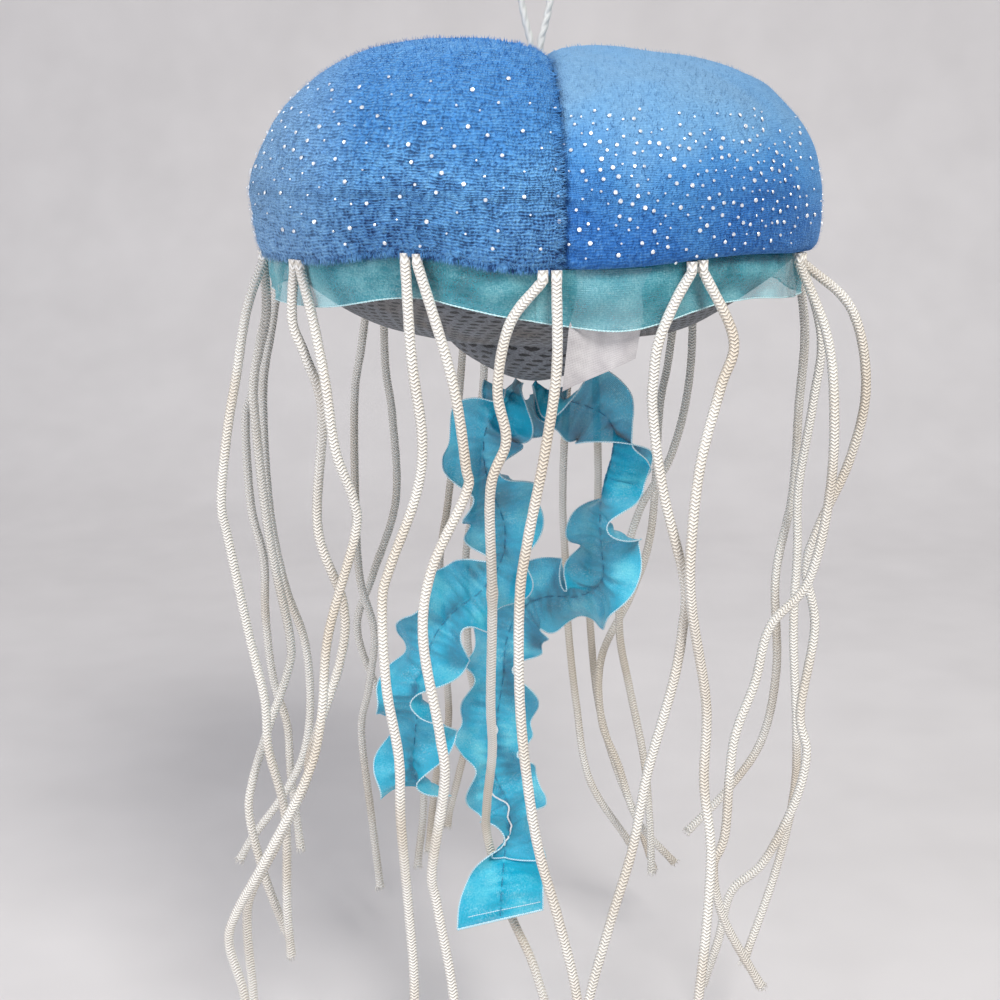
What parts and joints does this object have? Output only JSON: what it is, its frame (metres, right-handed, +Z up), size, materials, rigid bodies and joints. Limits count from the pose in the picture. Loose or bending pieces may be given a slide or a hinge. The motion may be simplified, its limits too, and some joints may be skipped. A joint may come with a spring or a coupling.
{
  "type": "plush jellyfish",
  "caption": "Hanging plush jellyfish: stuffed blue velour bell with an organza frill, gathered organza streamers, braided cord tentacles and a thread loop to hang it by.",
  "frame": {"origin": "inside the top of the hanging loop, where a hook holds it", "axes": "+Z up along the loop, -Y towards the front of the bell where the label is, +X to the right seen from the front"},
  "size_m": [0.1875, 0.1633, 0.3142],
  "materials": {
    "white_twisted_cord": "glossy twisted cord",
    "blue_velour": "knitted velour with foil dots",
    "grey_printed_velour": "short printed plush",
    "polyester_fibre_filling": "loose fibre, hidden",
    "teal_organza": "sheer organza",
    "white_satin_label": "satin ribbon, no print",
    "turquoise_organza": "sheer organza, gathered",
    "ivory_satin_cord": "braided satin cord"
  },
  "bodies": {
    "root": {"hanging_loop": "white_twisted_cord", "bell_gore_front_right": "blue_velour", "bell_gore_rear_right": "blue_velour", "bell_gore_rear_left": "blue_velour", "bell_gore_front_left": "blue_velour", "underside_ring": "grey_printed_velour", "underside_cap": "grey_printed_velour", "filling": "polyester_fibre_filling", "frill": "teal_organza", "sewn_label": "white_satin_label", "streamer_long": "turquoise_organza", "streamer_short": "turquoise_organza", "tentacle_cord_01": "ivory_satin_cord", "tentacle_cord_02": "ivory_satin_cord", "tentacle_cord_03": "ivory_satin_cord", "tentacle_cord_04": "ivory_satin_cord", "tentacle_cord_05": "ivory_satin_cord", "tentacle_cord_06": "ivory_satin_cord", "tentacle_cord_07": "ivory_satin_cord", "tentacle_cord_08": "ivory_satin_cord", "tentacle_cord_09": "ivory_satin_cord", "tentacle_cord_10": "ivory_satin_cord", "tentacle_cord_11": "ivory_satin_cord", "tentacle_cord_12": "ivory_satin_cord", "tentacle_cord_13": "ivory_satin_cord", "tentacle_cord_14": "ivory_satin_cord", "tentacle_cord_15": "ivory_satin_cord", "tentacle_cord_16": "ivory_satin_cord", "tentacle_cord_17": "ivory_satin_cord", "tentacle_cord_18": "ivory_satin_cord", "tentacle_cord_19": "ivory_satin_cord", "tentacle_cord_20": "ivory_satin_cord", "tentacle_cord_21": "ivory_satin_cord", "tentacle_cord_22": "ivory_satin_cord", "tentacle_cord_23": "ivory_satin_cord", "tentacle_cord_24": "ivory_satin_cord"}
  },
  "joints": []
}
